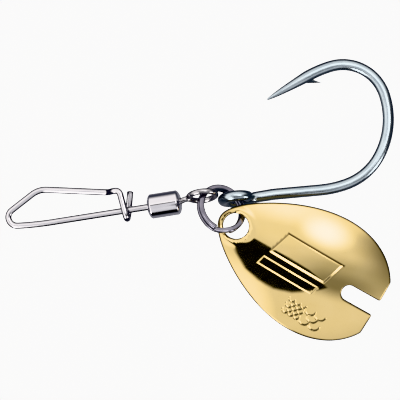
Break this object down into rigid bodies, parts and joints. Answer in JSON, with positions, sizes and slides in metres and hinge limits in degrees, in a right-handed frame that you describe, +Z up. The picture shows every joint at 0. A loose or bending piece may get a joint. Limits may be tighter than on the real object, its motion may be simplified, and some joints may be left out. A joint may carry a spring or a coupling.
{
  "type": "spoon lure",
  "caption": "Domed metal leaf blade and a barbed single hook on a split ring, joined by a barrel swivel to a wire snap.",
  "frame": {"origin": "under the middle of the lure, on the surface it lies on", "axes": "+X from the snap towards the blade's tail, +Y from the blade towards the hook's point, +Z up"},
  "size_m": [0.0532, 0.0386, 0.0067],
  "materials": {
    "gold_plate": "polished gold plate on brass",
    "dark_nickel": "dark nickel plated spring wire",
    "tinned_steel": "bright tin over carbon steel",
    "bright_nickel": "polished nickel",
    "nickel_wire": "polished stainless wire"
  },
  "bodies": {
    "snap": {"snap_wire": "nickel_wire"},
    "arm": {"snap_arm": "nickel_wire"},
    "barrel": {"swivel_barrel": "bright_nickel"},
    "eye": {"swivel_eye": "nickel_wire"},
    "ring": {"split_ring": "dark_nickel"},
    "hook": {"hook": "tinned_steel"},
    "blade": {"spoon_blade": "gold_plate"}
  },
  "joints": [
    {"name": "snap_squeeze", "type": "hinge", "parent": "snap", "child": "arm", "pos_m": [-0.02609, -0.00264, 0.00068], "axis": [-0.1238, -0.0196, 0.9921], "range_deg": [-7, 0], "stiffness_Nm_per_rad": 0.02},
    {"name": "barrel_spin", "type": "hinge", "parent": "snap", "child": "barrel", "pos_m": [-0.00479, -0.00063, 0.00337], "axis": [0.9799, 0.1552, 0.1253], "continuous": true},
    {"name": "eye_spin", "type": "hinge", "parent": "barrel", "child": "eye", "pos_m": [-0.00479, -0.00063, 0.00337], "axis": [0.9799, 0.1552, 0.1253], "continuous": true},
    {"name": "ring_swing", "type": "hinge", "parent": "eye", "child": "ring", "pos_m": [0.00217, 0.00083, 0.00427], "axis": [-0.1698, 0.3194, 0.9323], "range_deg": [-12, 45]},
    {"name": "hook_swing", "type": "hinge", "parent": "ring", "child": "hook", "pos_m": [0.00505, 0.00021, 0.00249], "axis": [-0.6095, 0.7912, -0.0499], "range_deg": [-18, 75]},
    {"name": "blade_swing", "type": "hinge", "parent": "ring", "child": "blade", "pos_m": [0.00503, -0.00363, 0.00428], "axis": [0.6158, 0.5402, -0.5736], "range_deg": [-8, 80]}
  ]
}
